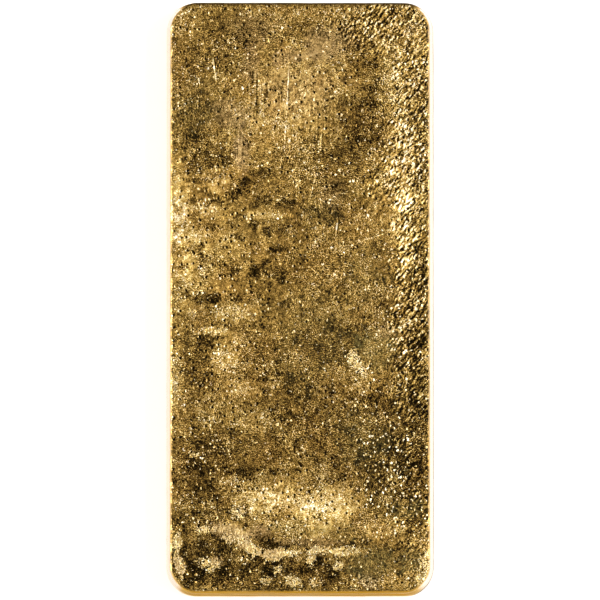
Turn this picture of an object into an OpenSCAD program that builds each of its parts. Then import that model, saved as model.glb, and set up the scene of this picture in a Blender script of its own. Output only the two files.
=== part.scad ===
// Flat cast bullion bar, as it lies on its open-cast face with the mould face up.
// It is one casting: drafted walls from an open mould, a crisp edge round the mould
// face, and a soft rim where the metal's skin turned over as it set.
// The long side runs along Y and the width along X. The floor is Z = 0, and the
// origin is the middle of the face that the bar rests on.

/* [Bar] */
// Length across the open-cast rim
bar_l = 118; // [90:0.5:180]
// Width across the open-cast rim
bar_w = 53; // [35:0.5:80]
// Thickness from the open-cast face to the mould face
bar_h = 8.5; // [6:0.1:14]

/* [Mould] */
// Radius of the upright corners at the rim, seen from above
corner_r = 6.1; // [4.5:0.1:12]
// Draft of the walls, in degrees away from upright
draft = 7.5; // [2:0.5:12]
// Radius of the edge round the mould face
face_edge_r = 0.5; // [0.2:0.1:1]

/* [Open-cast side] */
// Radius of the rim round the open-cast face
rim_r = 1.6; // [0.5:0.1:2.4]

/* [Hidden] */
$fn = 96;

// The wall is a straight line that meets the rim's arc and the face edge's arc at a
// tangent. These are its reach at the floor, and each arc's centre, all measured
// from the axis that a corner turns about.
wall_foot_x = corner_r + rim_r * (tan(draft) + 1 / cos(draft) - 1);
rim_arc_x = corner_r - rim_r;
face_arc_z = bar_h - face_edge_r;
face_arc_x = wall_foot_x - face_arc_z * tan(draft) - face_edge_r / cos(draft);

// Distances between the axes of the corners
axes_l = bar_l - 2 * corner_r;
axes_w = bar_w - 2 * corner_r;

// Half section from a corner's axis (x = 0) out to the wall, with height along y.
module wall_section() {
    translate([rim_arc_x, rim_r]) circle(r = rim_r);
    translate([face_arc_x, face_arc_z]) circle(r = face_edge_r);
    polygon([
        [0, 0],
        [rim_arc_x, 0],
        [rim_arc_x + rim_r * cos(draft), rim_r + rim_r * sin(draft)],
        [face_arc_x + face_edge_r * cos(draft), face_arc_z + face_edge_r * sin(draft)],
        [face_arc_x, bar_h],
        [0, bar_h]
    ]);
}

// A quarter turn of the section, which is the corner towards +X and +Y.
module corner() {
    translate([axes_w / 2, axes_l / 2])
        rotate_extrude(angle = 90) wall_section();
}

// The section run straight between two corners, which is the wall towards +X.
module long_wall() {
    translate([axes_w / 2, 0])
        rotate([90, 0, 0]) linear_extrude(height = axes_l, center = true) wall_section();
}

// The same for the wall towards +Y.
module end_wall() {
    translate([0, axes_l / 2])
        rotate([90, 0, 90]) linear_extrude(height = axes_w, center = true) wall_section();
}

module ingot() {
    color("#C9A24B") {
        translate([-axes_w / 2, -axes_l / 2]) cube([axes_w, axes_l, bar_h]);
        for (across = [0, 1]) {
            mirror([across, 0]) long_wall();
            mirror([0, across]) end_wall();
            for (along = [0, 1])
                mirror([across, 0]) mirror([0, along]) corner();
        }
    }
}

ingot();
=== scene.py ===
# Cast gold kilobar, lying on its open-cast face with the rough mould face up.
import math

import bpy
import numpy as np
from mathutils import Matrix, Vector, noise


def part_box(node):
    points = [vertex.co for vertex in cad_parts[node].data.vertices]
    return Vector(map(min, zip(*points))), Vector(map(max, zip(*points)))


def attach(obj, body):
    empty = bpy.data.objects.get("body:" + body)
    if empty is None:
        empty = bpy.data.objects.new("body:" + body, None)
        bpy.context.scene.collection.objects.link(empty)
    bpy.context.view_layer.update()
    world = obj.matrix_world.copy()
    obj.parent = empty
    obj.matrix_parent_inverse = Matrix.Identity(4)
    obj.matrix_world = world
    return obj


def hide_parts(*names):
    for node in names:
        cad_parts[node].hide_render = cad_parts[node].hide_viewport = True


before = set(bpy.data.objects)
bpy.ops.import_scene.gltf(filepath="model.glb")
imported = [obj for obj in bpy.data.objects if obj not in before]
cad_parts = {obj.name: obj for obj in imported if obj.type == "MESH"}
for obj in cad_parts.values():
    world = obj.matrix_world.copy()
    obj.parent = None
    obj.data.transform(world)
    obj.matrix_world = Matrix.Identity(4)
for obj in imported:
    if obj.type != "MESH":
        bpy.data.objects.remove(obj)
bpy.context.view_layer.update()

mm = 0.001  # the file is in metres, and every size below is in millimetres

scene = bpy.context.scene
barLow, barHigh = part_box("ingot")
barWidth = (barHigh[0] - barLow[0]) / mm
barLength = (barHigh[1] - barLow[1]) / mm
barHeight = (barHigh[2] - barLow[2]) / mm


def fromHex(code):
    # sRGB hex to the linear colour that Blender's sockets want
    channels = [int(code[i:i + 2], 16) / 255 for i in (1, 3, 5)]
    return [c / 12.92 if c <= 0.04045 else ((c + 0.055) / 1.055) ** 2.4 for c in channels] + [1.0]


def smoothStep(low, high, value):
    t = np.clip((value - low) / (high - low), 0, 1)
    return t * t * (3 - 2 * t)


def wander(points, size, detail=1, shift=0.0):
    # Perlin noise from about -1 to 1 at each point, with features about `size` mm across
    scale = 1 / size
    return np.array([
        noise.fractal(Vector((x * scale + shift, y * scale - shift, z * scale)), 1.0, 2.0, detail)
        for x, y, z in points
    ])


def cells(points, size, shift=0.0):
    # distance to the nearest and second nearest cell middle in mm, and a random number for each cell
    near = np.empty(len(points))
    second = np.empty(len(points))
    draw = np.empty(len(points))
    for i, (x, y, z) in enumerate(points):
        dist, where = noise.voronoi(Vector((x / size + shift, y / size - shift, z / size)))
        near[i] = dist[0] * size
        second[i] = dist[1] * size
        draw[i] = noise.cell(where[0] * 7.31)
    return near, second, draw


bar = {
    "cornerRadius": 6.1,    # upright corners, at the rim
    "draft": 7.5,           # degrees of mould draft on the walls
    "edgeRadius": 0.5,      # round the mould face
    "rimRadius": 1.6,       # round the open-cast face
    "cornerCells": 16,      # grid cells across each corner of the mould face
    "gridStep": 0.3,        # mm between the points of the mould face
    "undersideCoarser": 4,  # the underside has one point for this many on the mould face
    "edgeRings": 4,
    "wallRings": 10,
    "rimRings": 6,
    # relief, in mm
    "rolling": (14.0, 0.050),  # the mould's own unevenness: size across and depth, in mm
    "leather": (1.7, 0.060),
    "grain": (0.75, 0.060),
    "pebble": (1.05, 0.170),
    "pebbleLean": 28,          # degrees from the bar's length
    "worm": (0.9, 0.09),
    "holeSize": 0.85,
    "holeDepth": 0.12,
    "scratchDepth": 0.05,
    "edgeBite": 0.11,          # how deep the mould face's edge is nibbled
    "wallRipple": (5.0, 0.035),
    "skinDepth": 0.13,         # mm that the face lies below the smooth casting
    "wallDepth": 0.03,         # and the walls
    "deepest": 0.42,
    # tone, from 0 for mould black to 1 for clean metal
    "ground": 0.318,           # of plain skin
    "blackest": 0.44,          # what overlapping dark patches come to at most
    "blackGain": 0.40,         # lower reaches that sooner
    "blackTone": 0.68,         # how far it darkens the skin
    "holeShade": 0.30,
    "wormTone": 0.30,
    "farEdgeShade": (58.0, 58.4, 0.36),  # painted shade: mm along the bar where the far edge darkens, and by how much
    "nearWallShade": 0.56,          # painted shade: how far below a clean wall each end wall is toned
    "farWallShade": 0.96,
    "farShadeStop": (0.56, 0.64),  # share of the way down the section where the far wall's painted shade ends
    # marks of the mould and of handling. Each is (x, y, half width, half height, turn in degrees,
    # strength), in mm from the bar's middle
    "marking": 0.62,     # how strongly the bright and dark patches show
    "edgeWander": 0.5,   # how far noise pushes a patch's edge in and out, as a share of its size
    "bright": [           # clean metal, rubbed or fresh from the mould
        (2, 44, 9, 8, 0, 0.16), (-3, 36, 7, 7, 0, 0.16), (-9, 33, 6, 9, 0, 0.1),
        (20, 46, 6, 11, 0, 0.22), (20.5, 27, 3.8, 9, 0, 0.34), (20.5, 16, 3.5, 5, 0, 0.34),
        (14.5, 18, 5, 7, 0, 0.1), (24, 52, 2, 5, 0, 0.15), (-24, 18, 2.4, 9, 0, 0.36),
        (-23.5, 5, 2.2, 6, 0, 0.3), (-24.5, -14, 1.6, 10, 0, 0.22), (-17, 24, 3.6, 1.5, 0, 0.3),
        (-18.5, 17.5, 3, 1.3, 0, 0.26), (-7, 16.3, 4, 0.9, 0, 0.26), (-20, 11.5, 3.5, 2.2, 20, 0.2),
        (-19, 5, 4.5, 2.2, 0, 0.16), (-14, 10, 3.5, 3.5, 0, 0.14), (-12.5, -3, 4, 1.8, 0, 0.26),
        (-17.5, -6.6, 3, 0.8, 0, 0.3), (-14.2, -8.3, 3.5, 1.4, 0, 0.24),
        (-14.5, -12.3, 3.2, 2.2, 0, 0.28), (-11.8, -18, 3.6, 1.6, 0, 0.24),
        (-12.5, -23.5, 4.2, 1.6, 0, 0.12), (-8.5, -26.5, 4, 2, 0, 0.1), (11.3, -13, 1.5, 3, 35, 0.34),
        (13, -17, 2.5, 2, 0, 0.12), (-7.5, -39.5, 5.5, 3.2, 0, 0.34), (5.5, -41, 6.5, 3.6, 0, 0.44),
        (-1.5, -42.5, 10, 4.5, 0, 0.14), (-13, -46.5, 4.2, 1.8, -28, 0.42),
        (-11, -49, 1.6, 0.9, -20, 0.4), (-19.5, -46.3, 1.3, 0.7, 0, 0.34),
        (-5.8, -50.8, 2.2, 0.8, 0, 0.52), (-1.5, -50.4, 1.8, 0.5, 0, 0.45), (2, -51.6, 0.5, 1.6, 0, 0.5),
        (4.5, -49.8, 2.5, 0.5, 0, 0.36), (9.5, -50.3, 2.2, 0.8, 10, 0.34),
        (7.5, -52.8, 0.8, 0.5, 0, 0.45), (-16.5, -52, 1.2, 1.2, 0, 0.4), (-4.2, -53.6, 0.7, 0.5, 0, 0.4),
        (-1.8, -55.8, 1.3, 0.8, -20, 0.42), (3, -56, 1, 0.7, 0, 0.3), (-24, -48.5, 0.9, 1.5, 0, 0.5),
        (-23.6, -53, 1.1, 1.8, 10, 0.42), (24.3, -54, 1.5, 3.5, -12, 0.36), (16, -46, 4, 1.6, 0, 0.2),
        (24.8, -11.5, 0.6, 1, 0, 0.5), (9.7, -56, 2, 1.5, 0, 0.1),
    ],
    "brightTouches": [    # more of the same, which shows in full
        (20, -55.5, 3.5, 2, 0, 0.15), (12, 53, 4, 2, 0, 0.05), (-22, 53, 3, 5, 0, 0.08),
        (-16, 41.5, 2.5, 3, 0, 0.1), (-15.5, 22, 3, 1.3, 0, 0.16), (19.5, 9, 3, 4, 0, 0.16),
        (-19, 1.5, 5, 2, 0, 0.08), (0, -45.7, 5, 2, 0, 0.12), (4, 39, 8, 7, 0, 0.05),
        (12, 41.5, 2, 2, 0, 0.1), (-16, -14, 2.5, 2.5, 0, 0.1), (-16, -57, 3, 1.5, 0, 0.1),
        (16, 21.5, 2, 2, 0, 0.08), (-12, 26, 2, 2, 0, 0.08), (-4, 45.5, 2, 2, 0, 0.08),
        (-1, -37, 4, 5, 0, 0.06), (0, -22, 2, 2, 0, 0.08), (-12, -26, 2, 2, 0, 0.09),
        (16, -18, 2, 2, 0, 0.08), (-2, 34, 2.5, 3, 0, 0.06), (0, 57, 20, 1.5, 0, 0.05),
        (24, 8, 2, 8, 0, 0.05), (-20, 14, 6.5, 9, 0, 0.13), (-11, 12, 6, 8, 0, 0.06),
        (-19, -1, 6, 4, 0, 0.07),
    ],
    "dark": [             # mould black and oxide that stayed on
        (12.5, 35, 4.2, 7.5, 0, 0.3), (12.5, 35, 6.5, 9, 0, 0.1), (14.5, 40.5, 2, 2.5, 0, 0.12),
        (-20.5, 36, 3, 5, 0, 0.22), (-12, 54, 7, 3, 0, 0.12), (-17, 49, 6, 5, 0, 0.1),
        (2.5, 53, 3, 2, 0, 0.1), (-16.5, 27.5, 5, 1.8, 0, 0.26), (-7.5, 24.6, 2.4, 0.9, 0, 0.34),
        (-20, 31, 3, 2.5, 0, 0.16), (9, 20, 2.5, 3, 0, 0.1), (-18.3, -8.4, 2.4, 1.1, 0, 0.36),
        (-22.5, -8.5, 2, 0.9, 0, 0.2), (-20.5, -13.5, 3.6, 4.5, 0, 0.22), (-8.4, -12, 1.4, 1.8, 0, 0.28),
        (-4.5, -15, 3, 0.6, 2, 0.32), (-3, -12.6, 1.8, 0.9, 0, 0.18), (-7, -16.3, 1.6, 0.7, 0, 0.22),
        (-1, -17.5, 3.5, 1.5, 0, 0.18), (4, -8, 5, 7, 0, 0.14), (2.5, -19, 6, 6, 0, 0.14),
        (6, -30, 9, 5, 0, 0.08), (17.5, 9, 3.5, 2, 0, 0.16), (22.8, -9, 2.2, 1.2, -15, 0.26),
        (-18.5, -32.5, 5.5, 4.5, 0, 0.28), (-20.5, -38, 3, 5, 0, 0.22), (-20, -27.5, 3.5, 1.8, 0, 0.16),
        (-14, -30.5, 4, 0.8, 0, 0.16), (-11, -34.6, 3.5, 1.1, 0, 0.26), (-3.5, -34.2, 2.5, 0.9, 0, 0.2),
        (21, -26, 4, 9, 0, 0.22), (17, -32.5, 6, 3.6, 0, 0.22), (20.3, -38.6, 2.3, 2, 0, 0.42),
        (13.5, -31.5, 2.4, 2, 0, 0.16), (8, -35.3, 2.2, 0.5, 0, 0.36), (6.8, -32.5, 1.3, 2, 0, 0.2),
        (22.5, -44, 1.8, 4, 0, 0.18), (-20, -50, 4, 1.8, 0, 0.36), (-15, -50.6, 3, 1.6, -15, 0.3),
        (-19, -54.5, 5, 1.8, 0, 0.3), (-8.5, -52.8, 3, 2.2, 0, 0.36), (-1, -53.4, 5.5, 2, 0, 0.3),
        (8, -54, 3, 1.2, 0, 0.16), (-7, -57, 8, 1, 0, 0.16), (11.6, -48.6, 1.6, 0.9, 0, 0.36),
        (-7.3, -48, 2.6, 0.9, -20, 0.24), (-1.5, -48.8, 3.5, 0.6, 0, 0.22), (17.5, -51, 4, 2, 0, 0.12),
        (-20.5, -43, 3.5, 2, 0, 0.16), (-15.8, 38.5, 2, 3, 0, 0.1),
    ],
    "darkTouches": [      # more of the same, which shows in full
        (-21.5, 48, 2, 3, 0, 0.06), (-21.4, 19.1, 0.8, 0.7, 0, 0.28), (-20.3, 18.1, 0.6, 0.4, 0, 0.28),
        (-17.2, 18.5, 2.1, 0.7, 0, 0.24), (-12.9, 20.7, 1.5, 1.2, 0, 0.34), (-18.8, 21, 1, 0.9, 0, 0.22),
        (-7.5, 18.9, 2.2, 1.4, 0, 0.24), (-2.9, 18.7, 1.7, 1.2, 0, 0.24), (-20.7, 16, 1.1, 0.8, 0, 0.26),
        (-23, 14.3, 1, 0.8, 0, 0.24), (-20.2, 13.2, 0.6, 0.5, 0, 0.22), (-17.7, 13.9, 1.5, 0.9, 0, 0.28),
        (-11.8, 15.9, 1.2, 0.8, 0, 0.30), (-13.6, 14.6, 0.8, 0.6, 0, 0.24),
        (-9, 14.3, 1.3, 1.2, 0, 0.34), (-6.3, 13, 1.2, 1.2, 0, 0.36), (-3.1, 13.5, 0.8, 1, 0, 0.30),
        (-12, 11.8, 1.2, 0.7, -30, 0.32), (-13.5, 12.2, 0.5, 0.5, 0, 0.28),
        (-23.2, 9.3, 1.4, 0.8, 0, 0.34), (-20.2, 9.8, 1.5, 1, 20, 0.38), (-19.6, 8.3, 0.8, 0.8, 0, 0.32),
        (-4.2, 9.8, 1.4, 0.8, 0, 0.26), (-6.8, 7.1, 1, 0.5, 0, 0.30), (-8.2, 5.2, 1.7, 1.3, 0, 0.32),
        (-4, 4.5, 1.4, 1.5, 0, 0.36), (-12.5, 5.7, 1.2, 0.8, 0, 0.26), (-13.8, 4.8, 0.7, 0.6, 0, 0.24),
        (-23.2, 5.9, 0.8, 0.8, 0, 0.24), (-23.6, 2.7, 1, 0.6, 0, 0.22), (-22.5, 0.6, 1.5, 1, 0, 0.32),
        (-19.6, -0.2, 1.6, 1.2, 0, 0.42), (-16.8, -0.5, 1.4, 1, 0, 0.40), (-12.4, -0.5, 1, 0.8, 0, 0.34),
        (-17.9, -2.3, 1.1, 0.7, 0, 0.28), (-11.1, 23, 1.5, 0.8, 0, 0.28),
        (-19.6, 23.2, 2.4, 0.7, 0, 0.26), (-2.2, -1.2, 1.2, 1, 0, 0.26), (2.6, 17, 1.6, 1.4, 0, 0.22),
        (6.2, 16.4, 2.2, 2.2, 0, 0.22), (22.3, 10.5, 1.6, 2, 0, 0.12), (23, 3.5, 1.8, 2.6, 0, 0.12),
        (6, 24, 6, 5, 0, 0.09), (16, -22, 4, 5, 0, 0.07), (12, -23, 4, 5, 0, 0.1),
        (2, -27, 10, 8, 0, 0.07), (-14, -28, 4, 4, 0, 0.08), (-22, -36, 3, 4, 0, 0.1),
        (-16, -42, 2.5, 2.5, 0, 0.14), (-18, -49.5, 5, 2.5, 0, 0.12), (-11, -53.5, 4, 2, 0, 0.12),
        (4, -53.5, 4, 2, 0, 0.1), (16, -1, 3, 5, 0, 0.09), (16, 45, 2, 3, 0, 0.08),
        (-4, 41.5, 3, 3, 0, 0.08), (12, -6, 3, 3, 0, 0.08), (12, -34, 3, 4, 0, 0.1),
        (8, -10, 4, 4, 0, 0.08), (-4, -22, 2.5, 6, 0, 0.07), (-14, -51, 11, 6, 0, 0.09),
        (0, -54, 18, 3.5, 0, 0.08), (-19, -45, 5, 3, 0, 0.08), (14, -53, 6, 3.5, 0, 0.06),
        (-23.5, -52, 1.8, 5, 0, 0.08), (14, -36, 4, 7, 0, 0.08), (-12, -31, 6, 6, 0, 0.06),
        (10, -25, 7, 5, 0, 0.05), (24, -27, 2, 6, 0, 0.1), (16, 43, 2, 4, 0, 0.08),
        (24, 40, 2.4, 10, 0, 0.07), (24, 1, 2.4, 8, 0, 0.03), (23.5, -14, 2.6, 6, 0, 0.12),
        (22.5, -36, 4, 9, 0, 0.12), (24, -56, 3, 3, 0, 0.08), (17, -36, 4, 8, 0, 0.1),
        (19, -15, 3, 4, 0, 0.08), (16, -26, 2.5, 3, 0, 0.11), (20, -34, 2.5, 2.5, 0, 0.12),
        (-6, -49.5, 3, 1.5, 0, 0.08), (8, -49.5, 2, 1.5, 0, 0.09), (24.5, -53.5, 1.5, 3, 0, 0.1),
        (24, -26, 2, 2, 0, 0.1), (20, 21.5, 2.5, 2, 0, 0.08), (-14, -50.5, 6, 1.8, 0, 0.1),
        (-18, -53.5, 6, 3, 0, 0.08), (0, -53.8, 9, 2, 0, 0.08), (22.5, -29, 3.5, 12, 0, 0.12),
        (14, 54, 9, 4, 0, 0.03), (23, 53, 3, 5, 0, 0.08), (23.5, 32, 2.5, 9, 0, 0.12),
        (15, -21, 5, 3, 0, 0.08), (7, -34, 4, 3, 0, 0.08), (12, 47.5, 3, 5, 0, 0.08),
        (23.5, 12, 2, 5, 0, 0.04), (-20, 25, 4, 2, 0, 0.08), (21, -53, 4, 4, 0, 0.09),
        (-4, -12, 3, 4, 0, 0.06), (6, -9, 6, 4, 0, 0.06),
    ],
    "flakes": [           # torn skin that shows clean metal, with crisp edges
        (-12.6, -47.2, 4.2, 1.8, -28, 0.75), (-9.6, -49.4, 2.0, 1.2, -20, 1.1),
        (-19.3, -46.0, 1.6, 0.9, 0, 1.0), (-5.0, -50.9, 2.6, 1.1, 8, 1.1),
        (-1.2, -50.6, 2.0, 0.7, 0, 1.0), (1.9, -51.6, 0.9, 2.0, 0, 1.0), (5.0, -49.8, 3.0, 0.9, 0, 0.8),
        (9.5, -50.2, 2.6, 1.0, 10, 0.8), (7.5, -53.0, 1.3, 0.9, 0, 1.0),
        (-17.2, -52.6, 1.5, 1.5, 20, 1.0), (-19.6, -52.0, 1.4, 1.0, 0, 0.7),
        (-4.2, -53.8, 1.2, 0.9, 0, 1.0), (-1.6, -55.9, 2.2, 1.2, -20, 1.0),
        (-6.6, -55.8, 1.2, 0.8, 0, 0.8), (3.2, -56.2, 1.6, 1.0, 0, 0.8),
        (-24.2, -48.5, 0.9, 1.8, 0, 1.1), (-23.8, -53.0, 0.9, 2.4, 10, 1.0),
        (24.3, -53.8, 1.6, 4.2, -12, 0.7), (-19.5, -24.0, 1.0, 0.6, 0, 0.8),
        (-21.0, -31.0, 1.2, 0.7, 0, 0.8), (-11.8, -42.0, 1.8, 1.6, 0, 0.8),
        (-17.5, 24.0, 3.5, 1.2, 0, 0.5), (-18.5, 17.3, 3.0, 1.0, 0, 0.6), (-7.0, 16.4, 4.0, 0.7, 0, 0.5),
        (-17.5, -6.7, 3.0, 0.8, 0, 0.7), (-13.0, -3.2, 4.0, 1.4, 0, 0.5),
        (-14.2, -12.5, 3.4, 1.8, 0, 0.5), (11.3, -13.2, 1.4, 3.0, 35, 0.8),
        (-20.5, 43.0, 1.4, 0.9, 0, 0.6), (13.5, -56.2, 3.0, 1.2, 0, 0.7),
    ],
    "pale": [             # burnished by handling: cooler and greyer, with fine strokes
        (5.5, 50, 5, 3.8, 20, 0.7), (-2.8, 47.5, 3, 1.6, 20, 0.5), (0, 41, 8, 6, 0, 0.35),
        (-13, 36, 4, 2.6, -20, 0.6), (-11.8, 29.5, 1.8, 4.5, 0, 0.8), (-10, 46, 2, 3, 0, 0.5),
        (-9, 53, 5, 3, 0, 0.35), (-14, -46.4, 4, 1.8, -28, 0.7), (-11, -49, 1.6, 0.9, 0, 0.6),
        (-8.5, -46.4, 2.6, 1.6, 0, 0.7), (13.5, -56, 2, 1.6, 0, 0.6), (1, -48.5, 7, 1, 0, 0.5),
        (-5.8, -50.8, 2.2, 0.8, 0, 0.6), (-16.5, -52, 1.2, 1.2, 0, 0.6), (17, -6.5, 2, 1.6, 0, 0.5),
        (-23.6, -53, 1.1, 1.8, 10, 0.5), (6, 20, 3, 3, 0, 0.3),
    ],
    "olive": [            # a thin grey-green film
        (14.8, -10, 3.6, 3.8, 0, 0.8), (14, -52.5, 5, 2.8, 0, 0.8), (22, -52, 2, 2.2, 0, 0.6),
        (-1.5, -45.5, 5, 1.4, 0, 0.6), (8, -46.5, 4, 1.6, 0, 0.5), (21, -41.5, 3, 2, 0, 0.5),
        (3, -8, 7, 9, 0, 0.3), (13, 4, 5, 5, 0, 0.35), (12, -28, 5, 6, 0, 0.35), (4, 16.5, 4, 3, 0, 0.3),
        (-20, 38, 4, 5, 0, 0.3),
    ],
    "pebbles": [          # coarse hammered skin where the metal chilled first
        (22, 36, 5, 26, 0, 1.0), (16, 54, 8, 5, 0, 0.9), (22, -6, 4.5, 26, 0, 0.9),
        (22.5, -42, 3.5, 14, 0, 0.5), (17, -33, 4, 8, 0, 0.4), (18, 24, 5, 8, 0, 0.5),
        (7, 3, 6, 7, 0, 0.25), (10, 54, 5, 3, 0, 0.5),
    ],
    "sparkle": [          # painted glints, bright on a black ground
        (16.5, -33, 5, 9, 0, 0.9), (22, -30, 4, 14, 0, 0.45), (12, -22, 5, 5, 0, 0.3),
        (21, -42, 4, 7, 0, 0.5), (-19, -31, 5, 6, 0, 0.45), (-20, -43, 4, 4, 0, 0.3),
        (22, -3, 4, 12, 0, 0.35), (23, 30, 3, 16, 0, 0.25), (-12, -53, 10, 4, 0, 0.25),
        (10, 22, 5, 8, 0, 0.15),
    ],
    "worms": [            # short raised squiggles in the lower bright patch
        (-4, -39.2, 4.5, 2.2, 10, 1.0), (-10, -41, 1.8, 2.6, 0, 0.9), (-12.5, -39, 2, 1.2, 0, 0.6),
        (22, -55, 3, 2, 0, 0.6), (20, -47, 3, 2, 0, 0.5),
    ],
    "calm": [             # smoother ground, with less grain
        (-13, 12, 14, 15, 0, 0.6), (19, 12, 5, 13, 0, 0.5), (2, 41, 9, 9, 0, 0.4),
        (2, -41, 9, 5, 0, 0.2), (-12, -47, 5, 3, -28, 0.5),
    ],
    "holes": [            # where gas left small pinholes, painted dark as shade
        (-7.5, -37.8, 5, 2.6, 0, 1.0), (5, -40, 8, 5, 0, 0.8), (-2, -44, 9, 2.5, 0, 1.0),
        (11, -13, 2.2, 3, 30, 1.0), (-19, 15, 8, 14, 0, 0.55), (20.5, 25, 4, 10, 0, 0.5),
        (-12, 8, 9, 12, 0, 0.45), (1, 41, 9, 7, 0, 0.45), (-12, -14, 7, 10, 0, 0.35),
        (-9, -24, 6, 5, 0, 0.5),
    ],
    "strokes": [          # parallel upright drag marks
        (-8.6, 40.5, 2.2, 3.4, 0, 1.0), (-8.2, 36.5, 1.6, 1.6, 0, 0.8), (-11.8, 29.5, 1.6, 4, 0, 0.6),
        (3, 33, 4, 6, 0, 0.35), (9, 38, 3, 6, 0, 0.3),
    ],
    # scratches are (x, y) to (x, y), width and how strong the painted highlight along them and the painted
    # shade beside them are
    "scratches": [
        ((-17.3, 47.6), (-16.6, 43.0), 0.28, 0.55), ((-2.2, 46.0), (-2.6, 37.0), 0.20, 0.42),
        ((-2.6, 37.0), (-3.1, 30.0), 0.20, 0.30), ((4.4, 34.5), (3.9, 27.5), 0.16, 0.24),
        ((3.9, 27.5), (1.6, 18.0), 0.16, 0.26), ((7.4, 15.1), (7.1, 12.6), 0.24, 0.60),
        ((11.8, 11.0), (17.2, 12.8), 0.16, 0.34), ((-9.9, 58.0), (-9.5, 55.3), 0.24, 0.34),
        ((-10.0, 43.5), (-9.9, 36.0), 0.22, 0.26), ((3.4, 25.0), (6.6, 23.4), 0.16, 0.22),
        ((-15.6, -41.3), (-15.7, -44.6), 0.22, 0.34), ((-16.9, -42.0), (-15.9, -44.4), 0.20, 0.28),
        ((17.1, -35.4), (18.0, -37.4), 0.24, 0.50), ((17.9, -35.0), (18.3, -36.2), 0.22, 0.40),
        ((-7.9, 42.8), (-7.8, 40.2), 0.22, 0.30), ((1.8, 6.2), (4.4, 3.8), 0.18, 0.22),
        ((-8.9, 1.2), (-7.8, -3.0), 0.18, 0.22), ((8.8, -2.8), (14.6, 8.6), 0.14, 0.10),
        ((-13.4, 35.6), (-10.2, 37.9), 0.20, 0.20), ((20.5, 4.0), (21.3, 11.0), 0.20, 0.16),
    ],
}


def outline(bar):
    # the section from the mould face's flat down to the underside's flat, as (reach, height, normal)
    draft = math.radians(bar["draft"])
    edge, rim, corner = bar["edgeRadius"], bar["rimRadius"], bar["cornerRadius"]
    foot = corner + rim * (math.tan(draft) + 1 / math.cos(draft) - 1)
    edgeReach = foot - (barHeight - edge) * math.tan(draft) - edge / math.cos(draft)
    section = []
    for i in range(bar["edgeRings"] + 1):
        angle = math.pi / 2 - (math.pi / 2 - draft) * i / bar["edgeRings"]
        out, up = math.cos(angle), math.sin(angle)
        section.append((edgeReach + edge * out, barHeight - edge + edge * up, out, up))
    wallTop = section[-1]
    wallFoot = (corner - rim + rim * math.cos(draft), rim + rim * math.sin(draft))
    for i in range(1, bar["wallRings"]):
        share = i / bar["wallRings"]
        reach = wallTop[0] + (wallFoot[0] - wallTop[0]) * share
        height = wallTop[1] + (wallFoot[1] - wallTop[1]) * share
        section.append((reach, height, math.cos(draft), math.sin(draft)))
    for i in range(bar["rimRings"] + 1):
        angle = draft - (math.pi / 2 + draft) * i / bar["rimRings"]
        out, up = math.cos(angle), math.sin(angle)
        section.append((corner - rim + rim * out, rim + rim * up, out, up))
    return section


def gridLines(half, cornerCells, middleCells):
    # where the grid lines fall across one side, as (middle stretch, share of the corner)
    lines = []
    for i in range(cornerCells, 0, -1):
        lines.append((-half, -i / cornerCells))
    for i in range(middleCells + 1):
        lines.append((-half + 2 * half * i / middleCells, 0.0))
    for i in range(1, cornerCells + 1):
        lines.append((half, i / cornerCells))
    return lines


def roundedGrid(axisX, axisY, reach, cornerCells, cellsX, cellsY):
    # points of a rounded rectangle. Each corner's square of cells is bent into a quarter disc
    across = gridLines(axisX, cornerCells, cellsX)
    along = gridLines(axisY, cornerCells, cellsY)
    points = []
    for baseY, v in along:
        for baseX, u in across:
            dx = u * math.sqrt(1 - v * v / 2)
            dy = v * math.sqrt(1 - u * u / 2)
            points.append((baseX + reach * dx, baseY + reach * dy))
    return points, len(across), len(along)


def rimOf(countX, countY):
    # indices of a grid's outer points, counter-clockwise from the corner at -X -Y
    loop = [i for i in range(countX)]
    loop += [countX - 1 + j * countX for j in range(1, countY)]
    loop += [(countY - 1) * countX + i for i in range(countX - 2, -1, -1)]
    loop += [j * countX for j in range(countY - 2, 0, -1)]
    return loop


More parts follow.
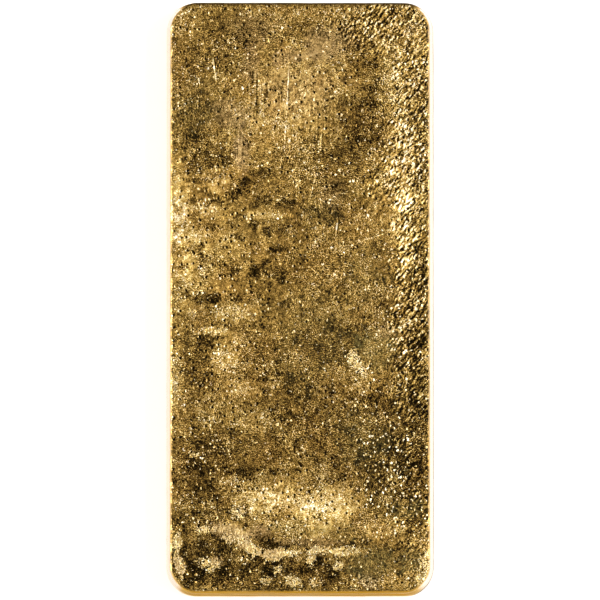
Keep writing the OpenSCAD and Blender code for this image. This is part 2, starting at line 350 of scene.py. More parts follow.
def buildShell(bar):
    # the smooth casting: points, the way out at each point, faces and what each point belongs to
    section = outline(bar)
    axisX = barWidth / 2 - bar["cornerRadius"]
    axisY = barLength / 2 - bar["cornerRadius"]
    n = bar["undersideCoarser"]
    corner = bar["cornerCells"]
    cellsX = n * round(2 * axisX / bar["gridStep"] / n)
    cellsY = n * round(2 * axisY / bar["gridStep"] / n)

    flat, countX, countY = roundedGrid(axisX, axisY, section[0][0], corner, cellsX, cellsY)
    points = [(x, y, barHeight) for x, y in flat]
    normals = [(0, 0, 1)] * len(flat)
    region = [0.0] * len(flat)  # 0 on the mould face, rising to 1 at the rim and 2 on the underside
    faces = []
    for j in range(countY - 1):
        for i in range(countX - 1):
            a = j * countX + i
            faces.append((a, a + 1, a + countX + 1, a + countX))

    loop = rimOf(countX, countY)
    unit, _, _ = roundedGrid(axisX, axisY, 1.0, corner, cellsX, cellsY)
    ring = loop
    steps = len(section) - 1
    for k in range(1, len(section)):
        reach, height, out, up = section[k]
        start = len(points)
        for index in loop:
            baseX = max(-axisX, min(axisX, flat[index][0]))
            baseY = max(-axisY, min(axisY, flat[index][1]))
            wayX, wayY = unit[index][0] - baseX, unit[index][1] - baseY
            points.append((baseX + reach * wayX, baseY + reach * wayY, height))
            normals.append((wayX * out, wayY * out, up))
            region.append(k / steps)
        size = len(loop)
        for i in range(size):
            j = (i + 1) % size
            faces.append((ring[i], start + i, start + j, ring[j]))
        ring = list(range(start, start + size))

    under, underX, underY = roundedGrid(axisX, axisY, section[-1][0] - n * bar["gridStep"],
                                        corner // n, cellsX // n, cellsY // n)
    start = len(points)
    points += [(x, y, 0.0) for x, y in under]
    normals += [(0, 0, -1)] * len(under)
    region += [2.0] * len(under)
    inner = [start + i for i in rimOf(underX, underY)]
    for i in range(len(inner)):
        j = (i + 1) % len(inner)
        outer = [ring[(i * n + k) % len(ring)] for k in range(n + 1)]
        faces.append((inner[i], inner[j], *reversed(outer)))
    for j in range(underY - 1):
        for i in range(underX - 1):
            a = start + j * underX + i
            faces.append((a, a + underX, a + underX + 1, a + 1))
    return np.array(points), np.array(normals), np.array(region), faces


def patchShare(points, patches, wobble, fineWobble, edgeWander):
    # how strongly a list of patches covers each point. Noise makes their edges ragged
    share = np.zeros(len(points))
    for x, y, halfWide, halfHigh, turn, strength in patches:
        c, s = math.cos(math.radians(turn)), math.sin(math.radians(turn))
        dx, dy = points[:, 0] - x, points[:, 1] - y
        u = (c * dx + s * dy) / halfWide
        v = (c * dy - s * dx) / halfHigh
        ragged = edgeWander * (wobble + fineWobble * min(1.0, 2 / min(halfWide, halfHigh)))
        soft = min(1.0, max(0.3, min(halfWide, halfHigh) / 3))  # small flakes have crisp edges
        share += strength * smoothStep(1 + 0.4 * soft, 1 - 0.5 * soft, np.sqrt(u * u + v * v) + ragged)
    return share


def alongLine(points, start, end):
    # distance from each point to a line, which side of it the point is on, and how far along
    a, b = np.array(start), np.array(end)
    way = b - a
    off = points[:, :2] - a
    t = np.clip((off @ way) / (way @ way), 0, 1)
    side = np.sign(off[:, 1] * way[0] - off[:, 0] * way[1])
    return np.linalg.norm(off - t[:, None] * way, axis=1), side, t


layerNames = (
    "tone", "black", "pale", "olive", "strokes", "pebbles", "sparkle", "lively",
    "flakes", "cutAway", "cutShading", "warmth", "holes", "mouldFace", "wallShadeTone", "farShadeMask",
)


def readSkin(points, normals, region):
    # the finish and the relief at every point. Both come from the same patches
    flatLength = np.maximum(np.linalg.norm(normals[:, :2], axis=1), 1e-6)
    normalsXY = normals[:, :2] / flatLength[:, None]  # which way the wall below this point faces
    low = wander(points, 3.2, 2, 4.0)
    fine = wander(points, 1.1, 2, 9.0)
    wobbles = (low * 0.9, fine * 0.8, bar["edgeWander"])
    names = ("bright", "brightTouches", "dark", "darkTouches", "flakes", "pale", "olive", "pebbles",
             "sparkle", "worms", "calm", "holes", "strokes")
    cover = {name: patchShare(points, bar[name], *wobbles) for name in names}
    cover["bright"] = bar["marking"] * cover["bright"] + cover["brightTouches"]
    cover["dark"] = bar["marking"] * cover["dark"] + cover["darkTouches"]
    pebbles = np.clip(cover["pebbles"], 0, 1)
    face = 1 - smoothStep(0.02, 0.30, region + 0.05 * fine)

    leather = wander(points, bar["leather"][0], 3, 21.0)
    grain = wander(points, bar["grain"][0], 2, 33.0)
    rolling = wander(points, bar["rolling"][0], 1, 2.0)
    warped = points + 0.35 * np.stack([low, fine, 0 * low], axis=1)
    lean = math.radians(bar["pebbleLean"])
    along = warped[:, 0] * math.sin(lean) + warped[:, 1] * math.cos(lean)
    warped[:, 0] -= 0.35 * along * math.sin(lean)  # the pebbles are longer than wide, and lean
    warped[:, 1] -= 0.35 * along * math.cos(lean)
    near, second, draw = cells(warped, bar["pebble"][0], 5.0)
    bump = smoothStep(0.0, 0.55, second - near) * (0.45 + 0.55 * draw)
    ridge = 1 - np.abs(wander(warped, bar["worm"][0], 1, 51.0)) * 4
    ridge = np.clip(ridge, 0, 1)

    holeNear, _, holeDraw = cells(points, bar["holeSize"], 17.0)
    wanted = 0.10 + 0.55 * np.clip(cover["holes"], 0, 1)
    radius = 0.16 + 0.16 * noisePick(holeDraw)
    hole = (holeDraw < wanted) * smoothStep(1.0, 0.2, holeNear / radius)

    depth = bar["skinDepth"] + rolling * bar["rolling"][1]
    calm = 1 - 0.55 * np.clip(cover["pale"], 0, 1) - 0.25 * np.clip(cover["bright"], 0, 1)
    depth -= leather * bar["leather"][1] * calm
    depth -= grain * bar["grain"][1] * calm
    depth += pebbles * (0.5 - bump) * bar["pebble"][1]
    depth -= np.clip(cover["worms"], 0, 1) * (ridge - 0.4) * bar["worm"][1]
    depth += hole * bar["holeDepth"]

    # each point keeps its signed distance from the nearest scratch, so that the material can draw a line
    # finer than the mesh
    cutAway = np.full(len(points), 9.0)
    cutShading = np.zeros(len(points))
    for start, end, width, glow in bar["scratches"]:
        away, side, t = alongLine(points, start, end)
        taper = np.sin(math.pi * (0.10 + 0.80 * t)) * smoothStep(1.2, 0.6, away)
        line = smoothStep(1.0, 0.0, away / 0.5) * glow * taper
        depth += line * bar["scratchDepth"]
        nearer = away < np.abs(cutAway)
        cutAway[nearer] = (away * side / width)[nearer]
        cutShading[nearer] = (glow * taper)[nearer]

    edge = smoothStep(0.0, 0.08, region) * (1 - smoothStep(0.16, 0.34, region))
    depth += edge * np.clip(fine + 0.4 * grain + 0.25, 0, 1) * bar["edgeBite"] * 2
    wall = wander(points, bar["wallRipple"][0], 2, 71.0)
    wallDepth = np.clip(bar["wallDepth"] + wall * bar["wallRipple"][1], 0, 0.2)
    depth = depth * face + (1 - face) * wallDepth
    depth = np.clip(depth, 0, bar["deepest"])

    black = bar["blackest"] * (1 - np.exp(-cover["dark"] / bar["blackGain"]))
    clump = np.clip(0.85 + 1.3 * fine + 0.9 * grain, 0.15, 2.0)  # patches break up into flecks
    steadier = 0.87 + 0.5 * (clump - 0.85)
    tone = bar["ground"] + cover["bright"] * (0.6 + 0.4 * clump) - bar["blackTone"] * black * steadier
    tone += 0.03 * low + 0.09 * fine + 0.06 * leather + 0.08 * grain
    # painted shade in the pinholes
    tone -= bar["holeShade"] * hole
    # painted highlight on the pebble tops and painted shade in the gaps between them
    tone += pebbles * (0.20 * bump - 0.07)
    lively = 1.0 + 0.55 * low + 0.25 * leather - 0.35 * np.clip(cover["pale"], 0, 1)
    lively = np.clip(lively - cover["calm"] * (0.75 - 2.0 * black), 0.3, 1.7)
    tone += bar["wormTone"] * np.clip(cover["worms"], 0, 1) * (ridge - 0.3)
    across, lengthwise = normalsXY[:, 0], normalsXY[:, 1]
    # painted shade along the far edge of the mould face
    lineStart, lineEnd, lineShade = bar["farEdgeShade"]
    tone -= lineShade * smoothStep(lineStart, lineEnd, points[:, 1]) * smoothStep(-23, -19, points[:, 0])
    # the long walls stay bright. The near end is painted duller and the far end painted near black, both
    # as shade
    farShadeLine = 1 - smoothStep(*bar["farShadeStop"], region + 0.04 * low)
    wallShadeTone = 1.0 - bar["nearWallShade"] * smoothStep(-0.55, -0.98, lengthwise)
    wallShadeTone -= bar["farWallShade"] * smoothStep(0.72, 0.97, lengthwise) * farShadeLine
    # painted reflection and shade on the rim: paler on the left, golden on the right, darker at the ends
    # and most at the far end
    rimShadeTone = 0.90 - 0.50 * smoothStep(0.0, 0.6, across)
    rimShadeTone -= 0.08 * smoothStep(0.25, 0.8, np.abs(lengthwise)) * smoothStep(-0.2, 0.3, across)
    rimShadeTone -= 0.20 * smoothStep(0.6, 0.95, lengthwise)
    # painted shade on the far wall, which is also made rough and not metal
    farShadeMask = smoothStep(0.55, 0.9, lengthwise) * (1 - 0.3 * np.clip(low, 0, 1)) * farShadeLine
    rim = smoothStep(0.60, 0.65, region)
    return {
        "depth": depth,
        "tone": tone,
        "black": black,
        "pale": np.clip(cover["pale"], 0, 1),
        "olive": np.clip(cover["olive"], 0, 1),
        "strokes": np.clip(cover["strokes"], 0, 1),
        "pebbles": pebbles,
        "sparkle": np.clip(cover["sparkle"], 0, 1),
        "lively": lively,
        "flakes": np.clip(cover["flakes"], 0, 1.5),
        "cutAway": cutAway,
        "cutShading": cutShading,
        "warmth": np.clip(0.5 + 0.9 * wander(points, 7.0, 2, 90.0) - 0.4 * cover["olive"], 0, 1),
        "holes": np.clip(cover["holes"], 0, 1),
        "mouldFace": face,
        "wallShadeTone": wallShadeTone * (1 - rim) + rimShadeTone * rim,
        "farShadeMask": farShadeMask * (1 - face * smoothStep(0.3, 0.0, region)),
    }


def noisePick(draw):
    # a second random number from the first
    return (draw * 97.0) % 1.0


def makeBar():
    points, normals, region, faces = buildShell(bar)
    print("shell:", len(points), "points,", len(faces), "faces")
    finish = readSkin(points, normals, region)
    depth = finish.pop("depth")
    under = region == 2.0
    depth[under] = 0
    placed = (points - normals * depth[:, None]) * mm
    mesh = bpy.data.meshes.new("castGoldBar")
    mesh.from_pydata(placed.tolist(), [], faces)
    mesh.shade_smooth()
    for name in layerNames:
        layer = mesh.attributes.new(name, "FLOAT", "POINT")
        layer.data.foreach_set("value", finish[name].astype(np.float32))
    piece = bpy.data.objects.new("cast_gold_bar", mesh)
    scene.collection.objects.link(piece)
    print("relief: up to", round(float(depth.max()), 2), "mm deep")
    return piece


def addNode(tree, kind, settings=None, links=None):
    # one node with its settings, socket values and links, by socket name or number. A link comes
    # from a socket, or from a node's first output in use
    node = tree.nodes.new(kind)
    for key, value in (settings or {}).items():
        if isinstance(key, str) and hasattr(node, key):
            setattr(node, key, value)
        else:
            node.inputs[key].default_value = value
    for key, source in (links or {}).items():
        if isinstance(source, bpy.types.Node):
            source = next(socket for socket in source.outputs if socket.enabled)
        tree.links.new(source, node.inputs[key])
    return node


gold = {
    # fine gold straight from an open mould. It is never polished: the eye sees a soft, grainy
    # metal, from brown in the hollows that kept mould black to pale yellow where it was rubbed
    "tones": [
        (0.00, "#0B0702"), (0.13, "#2B200A"), (0.30, "#644C21"), (0.46, "#937336"),
        (0.62, "#C19E53"), (0.80, "#E9CF8A"), (1.00, "#FCFAE6"),
    ],
    "wallTones": [      # the walls seen square on. Its dark end is the end walls' painted shade
        (0.00, "#1C1204"), (0.30, "#745A30"), (0.55, "#B08C4E"), (1.00, "#D6AC60"),
    ],
    "wallEdgeOn": [     # and nearly edge-on, from above. Its dark end is the end walls' painted shade
        (0.00, "#1C1204"), (0.30, "#AA8A58"), (0.55, "#E0C890"), (0.75, "#FFF4D8"), (1.00, "#FFFFFF"),
    ],
    "faceEdgeOn": "#E2D0A8",
    "burnished": "#B79C74",
    "film": "#6E6236",
    "warm": "#BC8A50",         # copper-brown bloom
    "grain": 0.52,             # mm, the casting grain
    "fineGrain": 0.20,         # mm, drawn coarser: the real one is too fine to show
    "mottle": 1.3,             # mm, the specks that a patch of mould black breaks up into
    "blowHole": 1.25,          # mm between blow holes
    "lipMove": (0.22, 0.06, 0),  # mm from a blow hole to its lip, the side that gets the painted highlight
    "fleck": (0.52, 0.74),     # mm between pits painted dark as shade, and between painted glints off clean crystal faces
    "pebble": (0.50, 1.20),    # mm, width and length of the chilled skin's pebbles
    "pebbleLean": 35,          # degrees
    "pebbleShadeShift": 0.15,       # mm between a pebble's painted lit side and its painted shaded side
    "stroke": 0.34,            # mm between drag marks
    "freezeLine": 1.6,         # mm between the lines that the rising metal left on the walls
    "bumpHeight": 0.16,        # mm
    "coatRoughness": 0.06,
    # how much each of them lightens the tone, or darkens it below zero
    "contrast": {
        "grain": 0.75, "fine": 1.95, "stroke": 1.5, "mottle": -0.15, "pit": -0.36, "lip": 0.40,
        "blown": -0.60, "pebble": 0.40, "burr": 1.1, "groove": -0.5, "wallGrain": 0.25,
    },
    # and how far it stands above the skin, as a share of the bump
    "raised": {"fine": 0.45, "pit": -0.35, "glint": 0.3, "blown": -0.8, "lip": 0.3, "pebble": 1.3},
}


def castGold():
    material = bpy.data.materials.new("fine gold, as cast")
    material.use_nodes = True
    tree = material.node_tree
    tree.nodes.clear()
    maths, mapRange, mix = "ShaderNodeMath", "ShaderNodeMapRange", "ShaderNodeMix"
    mapping, voronoi, noiseTexture = "ShaderNodeMapping", "ShaderNodeTexVoronoi", "ShaderNodeTexNoise"
    times = {"operation": "MULTIPLY"}
    lessAverage = {"operation": "SUBTRACT", 1: 0.5}
    out = addNode(tree, "ShaderNodeOutputMaterial")
    place = addNode(tree, "ShaderNodeTexCoord")
    spot = addNode(tree, mapping, {"Scale": (1 / mm, 1 / mm, 1 / mm)}, {"Vector": place.outputs["Object"]})
    contrast, raised = gold["contrast"], gold["raised"]
    layer = {}  # what readSkin left on the mesh
    for name in layerNames:
        layer[name] = addNode(tree, "ShaderNodeAttribute", {"attribute_name": name}).outputs["Fac"]

    # casting grain, finer crystals and drag marks, each less its average
    grain = addNode(tree, noiseTexture, {"Scale": 1 / gold["grain"], "Detail": 2.0, "Roughness": 0.6,
                                         "Distortion": 0.7}, {"Vector": spot})
    grainOff = addNode(tree, maths, lessAverage, {0: grain})
    fine = addNode(tree, noiseTexture, {"Scale": 1 / gold["fineGrain"], "Detail": 1.0, "Roughness": 0.7,
                                        "Distortion": 0.4}, {"Vector": spot})
    fineOff = addNode(tree, maths, lessAverage, {0: fine})
    streakPlace = addNode(tree, mapping, {"Scale": (1.0, 0.06, 1.0)}, {"Vector": spot})
    streak = addNode(tree, noiseTexture, {"Scale": 1 / gold["stroke"], "Detail": 2.0},
                     {"Vector": streakPlace})
    streakOff = addNode(tree, maths, lessAverage, {0: streak})
    fineShare = addNode(tree, maths, times, {0: fineOff, 1: layer["lively"]})
    streakShare = addNode(tree, maths, times, {0: streakOff, 1: layer["strokes"]})
    tone = addNode(tree, maths, {"operation": "MULTIPLY_ADD", 1: contrast["grain"]},
                   {0: grainOff, 2: layer["tone"]})
    tone = addNode(tree, maths, {"operation": "MULTIPLY_ADD", 1: contrast["fine"]},
                   {0: fineShare, 2: tone})
    tone = addNode(tree, maths, {"operation": "MULTIPLY_ADD", 1: contrast["stroke"]},
                   {0: streakShare, 2: tone})

    # mould black sits in crisp specks, which run together where there is more of it
    mottle = addNode(tree, noiseTexture, {"Scale": 1 / gold["mottle"], "Detail": 3.0, "Roughness": 0.65,
                                          "Distortion": 0.5}, {"Vector": spot})
    black = addNode(tree, maths, {"operation": "MULTIPLY_ADD", 1: 0.60}, {0: layer["black"], 2: mottle})
    black = addNode(tree, mapRange, {"From Min": 0.60, "From Max": 0.68}, {"Value": black})
    someBlack = addNode(tree, mapRange, {"From Min": 0.0, "From Max": 0.08}, {"Value": layer["black"]})
    blackShare = addNode(tree, maths, times, {0: black, 1: someBlack})
    tone = addNode(tree, maths, {"operation": "MULTIPLY_ADD", 1: contrast["mottle"]},
                   {0: blackShare, 2: tone})

    # a share of the flecks are pits painted dark as shade, and a share are painted glints
    mottleOff = addNode(tree, maths, lessAverage, {0: mottle})
    warped = addNode(tree, "ShaderNodeVectorMath", {"operation": "MULTIPLY_ADD", 1: (1.4, 1.4, 0)},
                     {0: mottle.outputs["Color"], 2: spot})
    fleckWide, fleckLong = gold["fleck"]
    fleckPlace = addNode(tree, mapping, {"Scale": (1 / fleckWide, 1 / fleckLong, 1)}, {"Vector": warped})
    flecks = addNode(tree, voronoi, {"voronoi_dimensions": "2D", "Scale": 1.0}, {"Vector": fleckPlace})
    draws = addNode(tree, "ShaderNodeSeparateColor", None, {"Color": flecks.outputs["Color"]})
    fleckSize = addNode(tree, mapRange, {"To Min": 1.5, "To Max": 0.7}, {"Value": draws.outputs["Blue"]})
    fleckReach = addNode(tree, maths, times, {0: flecks, 1: fleckSize})
    dot = addNode(tree, mapRange, {"From Min": 0.36, "From Max": 0.18}, {"Value": fleckReach})
    pitDraw = addNode(tree, maths, {"operation": "MULTIPLY_ADD", 1: -0.15}, {0: layer["holes"], 2: draws})
    isPit = addNode(tree, mapRange, {"From Min": 0.14, "From Max": 0.08}, {"Value": pitDraw})
    pit = addNode(tree, maths, times, {0: dot, 1: isPit})
    glintDraw = addNode(tree, maths, {"operation": "MULTIPLY_ADD", 1: 0.27},
                        {0: layer["sparkle"], 2: draws.outputs["Green"]})
    glintDraw = addNode(tree, maths, {"operation": "MULTIPLY_ADD", 1: 0.5}, {0: mottleOff, 2: glintDraw})
    isGlint = addNode(tree, mapRange, {"From Min": 0.90, "From Max": 0.96}, {"Value": glintDraw})
    glint = addNode(tree, maths, times, {0: dot, 1: isGlint})
    glintGlow = addNode(tree, mapRange, {"To Min": 0.55, "To Max": 0.95}, {"Value": layer["sparkle"]})
    tone = addNode(tree, maths, {"operation": "MULTIPLY_ADD", 1: contrast["pit"]}, {0: pit, 2: tone})
    tone = addNode(tree, maths, {"operation": "MULTIPLY_ADD"}, {0: glint, 1: glintGlow, 2: tone})

    # blow holes painted dark as shade, each with a raised lip on one side painted as a highlight
    blowMarks = []
    for move, inner, outer in (((0, 0, 0), 0.15, 0.24), (gold["lipMove"], 0.10, 0.20)):
        moved = addNode(tree, mapping, {"Location": move}, {"Vector": spot})
        blow = addNode(tree, voronoi, {"voronoi_dimensions": "2D", "Scale": 1 / gold["blowHole"]},
                       {"Vector": moved})
        draw = addNode(tree, "ShaderNodeSeparateColor", None, {"Color": blow.outputs["Color"]})
        draw = addNode(tree, maths, {"operation": "MULTIPLY_ADD", 1: -0.35}, {0: layer["holes"], 2: draw})
        isBlown = addNode(tree, mapRange, {"From Min": 0.16, "From Max": 0.12}, {"Value": draw})
        reach = addNode(tree, mapRange, {"From Min": outer, "From Max": inner}, {"Value": blow})
        blowMarks.append(addNode(tree, maths, times, {0: reach, 1: isBlown}))
    blown, lip = blowMarks
    tone = addNode(tree, maths, {"operation": "MULTIPLY_ADD", 1: contrast["lip"]}, {0: lip, 2: tone})
    tone = addNode(tree, maths, {"operation": "MULTIPLY_ADD", 1: contrast["blown"]}, {0: blown, 2: tone})

    # pebbles, with painted highlights on one flank and in streaks, and painted shade on the other flank
    lean = math.radians(gold["pebbleLean"])
    pebbleWide, pebbleLong = gold["pebble"]
    shadeShift = gold["pebbleShadeShift"]
    lumps = []
    for move in ((shadeShift, -0.5 * shadeShift, 0), (-shadeShift, 0.5 * shadeShift, 0)):
        moved = addNode(tree, mapping, {"Location": move}, {"Vector": warped})
        turned = addNode(tree, mapping, {"Rotation": (0, 0, lean)}, {"Vector": moved})
        stretched = addNode(tree, mapping, {"Scale": (1 / pebbleWide, 1 / pebbleLong, 1)},
                            {"Vector": turned})
        lump = addNode(tree, voronoi, {"voronoi_dimensions": "2D", "Scale": 1.0}, {"Vector": stretched})
        lumps.append(addNode(tree, mapRange, {"From Min": 0.75, "From Max": 0.05}, {"Value": lump}))
    ridges = addNode(tree, noiseTexture, {"Scale": 0.9, "Detail": 1.0}, {"Vector": stretched})
    ridge = addNode(tree, mapRange, {"From Min": 0.3, "From Max": 0.7, "To Min": -0.5, "To Max": 0.5},
                    {"Value": ridges})
    pebbleLightShade = addNode(tree, maths, {"operation": "SUBTRACT"}, {0: lumps[0], 1: lumps[1]})
    patchy = addNode(tree, mapRange, {"From Min": 0.35, "From Max": 0.65, "To Min": 0.3, "To Max": 1.9},
                     {"Value": mottle})
    pebbleLightShade = addNode(tree, maths, times, {0: pebbleLightShade, 1: patchy})
    pebbleShading = addNode(tree, maths, {"operation": "MULTIPLY_ADD", 1: 1.25}, {0: pebbleLightShade, 2: ridge})
    pebbleShading = addNode(tree, maths, times, {0: pebbleShading, 1: layer["pebbles"]})
    pebbleTop = addNode(tree, maths, times, {0: lumps[0], 1: layer["pebbles"]})
    tone = addNode(tree, maths, {"operation": "MULTIPLY_ADD", 1: contrast["pebble"]},
                   {0: pebbleShading, 2: tone})

    # a scratch gets a painted highlight along it and painted shade along one side
    cut = layer["cutAway"]
    highlightLeft = addNode(tree, mapRange, {"From Min": -0.80, "From Max": -0.40}, {"Value": cut})
    highlightRight = addNode(tree, mapRange, {"From Min": 0.80, "From Max": 0.40}, {"Value": cut})
    burr = addNode(tree, maths, times, {0: highlightLeft, 1: highlightRight})
    burr = addNode(tree, maths, times, {0: burr, 1: layer["cutShading"]})
    sideShadeInner = addNode(tree, mapRange, {"From Min": 0.60, "From Max": 0.90}, {"Value": cut})
    sideShadeOuter = addNode(tree, mapRange, {"From Min": 1.60, "From Max": 1.20}, {"Value": cut})
    groove = addNode(tree, maths, times, {0: sideShadeInner, 1: sideShadeOuter})
    groove = addNode(tree, maths, times, {0: groove, 1: layer["cutShading"]})
    tone = addNode(tree, maths, {"operation": "MULTIPLY_ADD", 1: contrast["burr"]}, {0: burr, 2: tone})
    tone = addNode(tree, maths, {"operation": "MULTIPLY_ADD", 1: contrast["groove"]},
                   {0: groove, 2: tone})

    # where the black skin tore off, clean metal shows with a ragged, crisp edge
    torn = addNode(tree, maths, {"operation": "MULTIPLY_ADD", 1: 3.0}, {0: grainOff, 2: layer["flakes"]})
    torn = addNode(tree, maths, {"operation": "MULTIPLY_ADD", 1: 2.0}, {0: fineOff, 2: torn})
    torn = addNode(tree, maths, {"operation": "MULTIPLY_ADD", 1: 2.4}, {0: mottleOff, 2: torn})
    torn = addNode(tree, mapRange, {"From Min": 0.86, "From Max": 0.98, "To Max": 0.80}, {"Value": torn})
    clean = addNode(tree, maths, {"operation": "MULTIPLY_ADD", 1: 1.7, 2: 0.72}, {0: fineOff})
    tone = addNode(tree, mix, {"data_type": "FLOAT"}, {"Factor": torn, 2: tone, 3: clean})

    # colour, from the tone and the films over it
    skinColour = addNode(tree, "ShaderNodeValToRGB", None, {"Fac": tone})
    wallShadeTone = addNode(tree, maths, {"operation": "MULTIPLY_ADD", 1: contrast["wallGrain"]},
                       {0: grainOff, 2: layer["wallShadeTone"]})
    wallColour = addNode(tree, "ShaderNodeValToRGB", None, {"Fac": wallShadeTone})
    wallEdgeOn = addNode(tree, "ShaderNodeValToRGB", None, {"Fac": layer["wallShadeTone"]})
    for ramp, stops in ((skinColour, "tones"), (wallColour, "wallTones"), (wallEdgeOn, "wallEdgeOn")):
        marks = ramp.color_ramp.elements
        for i, (position, code) in enumerate(gold[stops]):
            mark = marks[i] if i < 2 else marks.new(position)
            mark.position = position
            mark.color = fromHex(code)
    rubbed = addNode(tree, mapRange, {"From Min": 0.2, "From Max": 0.6, "To Max": 0.6}, {"Value": tone})
    rubbed = addNode(tree, maths, times, {0: rubbed, 1: layer["pale"]})
    colour = addNode(tree, mix, {"data_type": "RGBA", 7: fromHex(gold["burnished"])},
                     {"Factor": rubbed, 6: skinColour})
    filmShare = addNode(tree, mapRange, {"From Min": 0.35, "From Max": 0.65, "To Max": 0.65},
                        {"Value": grain})
    filmShare = addNode(tree, maths, times, {0: filmShare, 1: layer["olive"]})
    colour = addNode(tree, mix, {"data_type": "RGBA", 7: fromHex(gold["film"])},
                     {"Factor": filmShare, 6: colour})
    warmShare = addNode(tree, mapRange, {"From Min": 0.40, "From Max": 0.95, "To Max": 0.15},
                        {"Value": layer["warmth"]})
    colour = addNode(tree, mix, {"data_type": "RGBA", "blend_type": "MULTIPLY", 7: fromHex(gold["warm"])},
                     {"Factor": warmShare, 6: colour})
    colour = addNode(tree, mix, {"data_type": "RGBA"},
                     {"Factor": layer["mouldFace"], 6: wallColour, 7: colour})
    edgeOn = addNode(tree, mix, {"data_type": "RGBA", 7: fromHex(gold["faceEdgeOn"])},
                     {"Factor": layer["mouldFace"], 6: wallEdgeOn})

    # the rubbed metal is smoother, and the far wall's painted shade is made neither smooth nor metal
    faceRough = addNode(tree, mapRange,
                        {"From Min": 0.15, "From Max": 0.85, "To Min": 0.50, "To Max": 0.30},
                        {"Value": tone})
    wallRough = addNode(tree, mapRange, {"To Min": 0.15, "To Max": 0.95}, {"Value": layer["farShadeMask"]})
    roughness = addNode(tree, mix, {"data_type": "FLOAT"},
                        {"Factor": layer["mouldFace"], 2: wallRough, 3: faceRough})
    metallic = addNode(tree, mapRange, {"From Min": 0.1, "From Max": 0.9, "To Min": 1.0, "To Max": 0.0},
                       {"Value": layer["farShadeMask"]})

    # a film of mould dressing baked onto the walls shines, most of all edge-on
    filmOn = addNode(tree, mapRange, {"From Min": 0.55, "From Max": 0.90}, {"Value": layer["wallShadeTone"]})
    onWall = addNode(tree, maths, {"operation": "SUBTRACT", 0: 1.0}, {1: layer["mouldFace"]})
    filmOn = addNode(tree, maths, times, {0: filmOn, 1: onWall})

    # relief finer than the mesh
    height = addNode(tree, maths, {"operation": "MULTIPLY_ADD", 1: raised["fine"]}, {0: fine, 2: grain})
    height = addNode(tree, maths, {"operation": "MULTIPLY_ADD", 1: raised["pit"]}, {0: pit, 2: height})
    height = addNode(tree, maths, {"operation": "MULTIPLY_ADD", 1: raised["glint"]},
                     {0: glint, 2: height})
    height = addNode(tree, maths, {"operation": "MULTIPLY_ADD", 1: raised["blown"]},
                     {0: blown, 2: height})
    height = addNode(tree, maths, {"operation": "MULTIPLY_ADD", 1: raised["lip"]}, {0: lip, 2: height})
    height = addNode(tree, maths, {"operation": "MULTIPLY_ADD", 1: raised["pebble"]},
                     {0: pebbleTop, 2: height})
    height = addNode(tree, maths, times, {0: height, 1: layer["mouldFace"]})
    freezePlace = addNode(tree, mapping, {"Scale": (0.06, 0.06, 1.0)}, {"Vector": spot})
    freeze = addNode(tree, noiseTexture, {"Scale": 1 / gold["freezeLine"], "Detail": 2.0},
                     {"Vector": freezePlace})
    wallShare = addNode(tree, mapRange, {"To Min": 1.2, "To Max": 0.0}, {"Value": layer["mouldFace"]})
    height = addNode(tree, maths, {"operation": "MULTIPLY_ADD"}, {0: freeze, 1: wallShare, 2: height})
    bump = addNode(tree, "ShaderNodeBump", {"Strength": 1.0, "Distance": gold["bumpHeight"] * mm},
                   {"Height": height})
    metal = addNode(tree, "ShaderNodeBsdfPrincipled",
                    {"Specular IOR Level": 0.0, "Coat Roughness": gold["coatRoughness"]},
                    {"Base Color": colour, "Metallic": metallic, "Roughness": roughness,
                     "Specular Tint": edgeOn, "Coat Weight": filmOn, "Normal": bump})
    tree.links.new(metal.outputs["BSDF"], out.inputs["Surface"])
    return material


ingot = makeBar()
ingot.data.materials.append(castGold())
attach(ingot, "root")
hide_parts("ingot")
print("bar:", len(ingot.data.polygons), "faces")


studio = {
    "floorHalf": 1.55,           # m
    "floorColour": "#FDFCFA",
    "roomWalls": "#FFFFFF",
    "ceiling": "#8F8F8F",
    # name: where it stands (m), its width and height (m), power (W) and colour
    "lamps": {
        "rightBox": ((1.5, 0.1, 1.35), (0.8, 1.2), 60, "#FFFFFF"),
        "leftBox": ((-1.5, -0.1, 0.9), (0.8, 1.2), 40, "#FFFFFF"),
    },
    "cameraAway": 2.2,           # m, so that the bar's long sides run nearly parallel
    "cameraTilt": 3.6,           # degrees from straight down, towards the near end
    "viewWidth": 0.1189,         # m across the frame at the bar
}


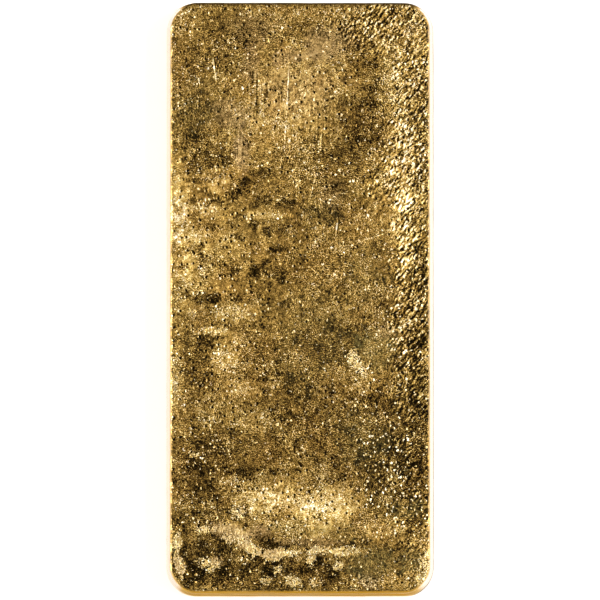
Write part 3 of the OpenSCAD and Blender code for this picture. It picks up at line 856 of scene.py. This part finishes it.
def makeFloor():
    half = studio["floorHalf"]
    mesh = bpy.data.meshes.new("floor")
    corners = [(-half, -half, 0), (half, -half, 0), (half, half, 0), (-half, half, 0)]
    mesh.from_pydata(corners, [], [(0, 1, 2, 3)])
    floor = bpy.data.objects.new("floor", mesh)
    scene.collection.objects.link(floor)
    material = bpy.data.materials.new("matt studio card")
    material.use_nodes = True
    shader = material.node_tree.nodes["Principled BSDF"]
    shader.inputs["Base Color"].default_value = fromHex(studio["floorColour"])
    shader.inputs["Roughness"].default_value = 0.9
    floor.data.materials.append(material)


def makeLamps():
    middle = Vector((0, 0, 0))
    for name, (where, size, power, code) in studio["lamps"].items():
        light = bpy.data.lights.new(name, "AREA")
        light.shape = "RECTANGLE"
        light.size, light.size_y = size
        light.energy = power
        light.color = fromHex(code)[:3]
        lamp = bpy.data.objects.new(name, light)
        lamp.location = where
        lamp.rotation_euler = (middle - Vector(where)).to_track_quat("-Z", "Y").to_euler()
        scene.collection.objects.link(lamp)
    world = bpy.data.worlds.new("studio room")  # pale walls all round under a dimmer ceiling
    world.use_nodes = True
    tree = world.node_tree
    back = tree.nodes["Background"]
    back.inputs["Strength"].default_value = 1.0
    place = addNode(tree, "ShaderNodeTexCoord")
    height = addNode(tree, "ShaderNodeSeparateXYZ", None, {"Vector": place.outputs["Generated"]})
    up = addNode(tree, "ShaderNodeMapRange", {"From Min": 0.15, "From Max": 0.80},
                 {"Value": height.outputs["Z"]})
    room = addNode(tree, "ShaderNodeMix", {"data_type": "RGBA", 6: fromHex(studio["roomWalls"]),
                   7: fromHex(studio["ceiling"])}, {"Factor": up.outputs["Result"]})
    tree.links.new(room.outputs[2], back.inputs["Color"])
    scene.world = world


def makeCamera():
    data = bpy.data.cameras.new("camera")
    camera = bpy.data.objects.new("camera", data)
    scene.collection.objects.link(camera)
    away, tilt = studio["cameraAway"], math.radians(studio["cameraTilt"])
    camera.location = (0, -away * math.sin(tilt), away * math.cos(tilt))
    camera.rotation_euler = (tilt, 0, 0)
    data.sensor_width = 36
    data.lens = data.sensor_width * away / studio["viewWidth"]
    data.clip_end = 20
    scene.camera = camera


makeFloor()
makeLamps()
makeCamera()
scene.view_settings.view_transform = "Standard"
print("studio ready")
